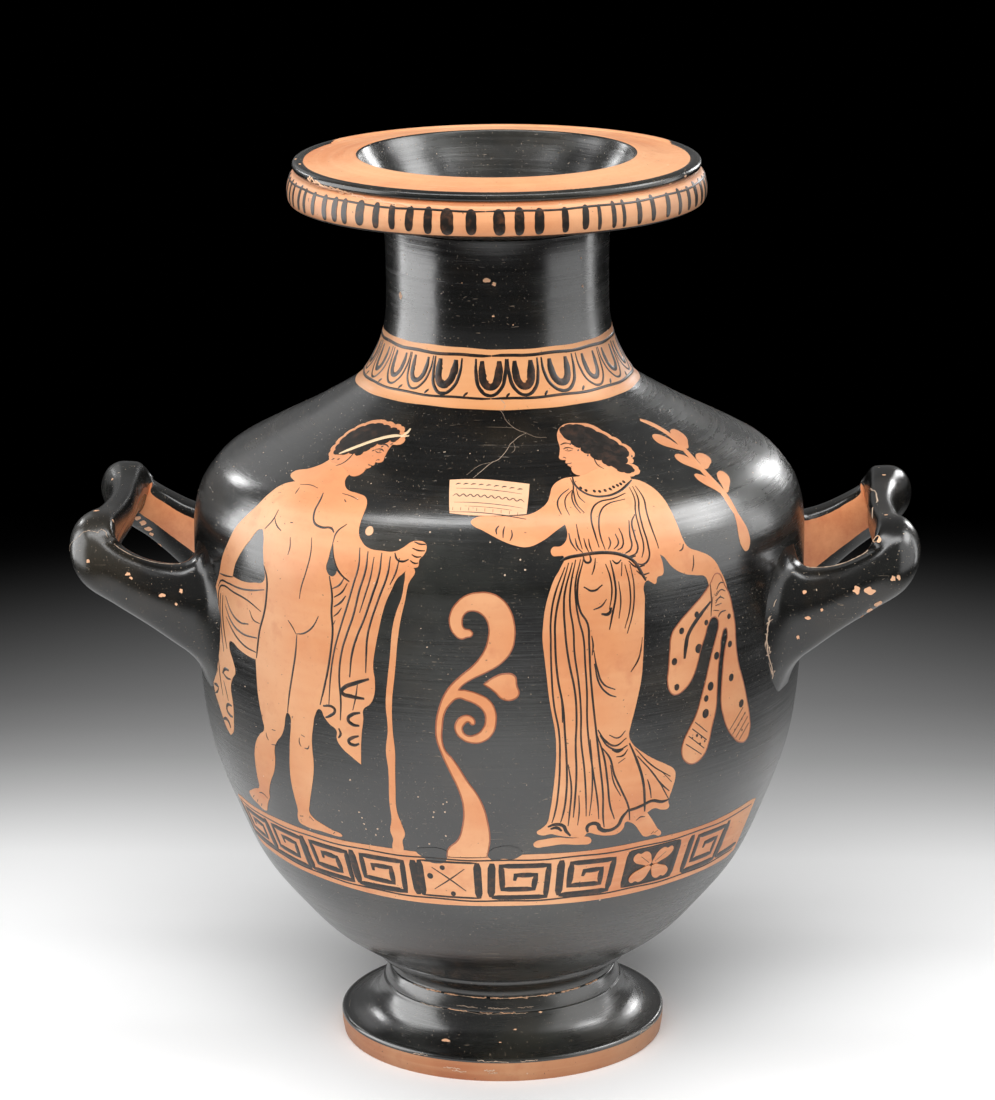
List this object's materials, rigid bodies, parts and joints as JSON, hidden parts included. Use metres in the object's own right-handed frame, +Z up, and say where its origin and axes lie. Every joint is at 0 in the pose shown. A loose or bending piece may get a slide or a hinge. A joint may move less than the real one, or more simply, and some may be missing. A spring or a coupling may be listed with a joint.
{
  "type": "hydria",
  "caption": "Footed pottery water jar with a broad flat mouth, two upturned lifting handles at its sides and an upright pouring handle behind.",
  "frame": {"origin": "on the jar's axis, in the plane that the foot stands on", "axes": "+Z up along the jar's axis; the painted front faces -Y, the lifting handles lie along X, the pouring handle is at +Y"},
  "size_m": [0.3476, 0.2552, 0.38],
  "materials": {
    "black_slip": "black gloss slip, semi-gloss, with fine wheel marks",
    "reserved_clay": "burnished bare orange clay, satin"
  },
  "bodies": {
    "root": {"foot": "black_slip", "foot_fillet": "black_slip", "belly": "black_slip", "shoulder": "black_slip", "neck": "black_slip", "mouth_ring": "reserved_clay", "left_handle": "black_slip", "right_handle": "black_slip", "back_handle": "black_slip"}
  },
  "joints": []
}
